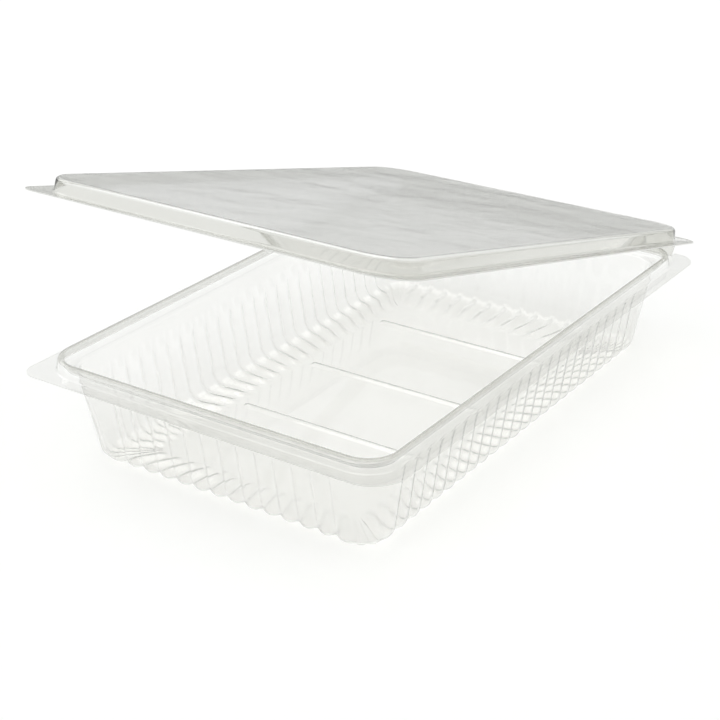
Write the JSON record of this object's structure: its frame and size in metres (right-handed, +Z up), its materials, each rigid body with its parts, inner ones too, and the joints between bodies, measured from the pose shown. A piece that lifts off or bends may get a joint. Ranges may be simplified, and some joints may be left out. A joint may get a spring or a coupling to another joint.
{
  "type": "hinged takeaway meal container",
  "caption": "Empty rectangular takeaway container of clear thermoformed plastic: a fluted tray with a raised rim bead and a shallow hinged lid, shown part open.",
  "frame": {"origin": "on the flat underside of the tray's floor, midway between the rim's front and back edges and its two sides", "axes": "+Z up, +Y towards the crease that joins lid and tray, +X to the right seen from the opening side"},
  "size_m": [0.15, 0.2245, 0.1027],
  "materials": {
    "clear_plastic": "clear glossy thermoformed PET sheet, faintly grey-green where it is seen edge on"
  },
  "bodies": {
    "tray": {"tray": "clear_plastic"},
    "lid": {"lid": "clear_plastic"}
  },
  "joints": [
    {"name": "lid_hinge", "type": "hinge", "parent": "tray", "child": "lid", "pos_m": [0, 0.1124, 0.0384], "axis": [-1, 0, 0], "range_deg": [-16.4, 165]}
  ]
}
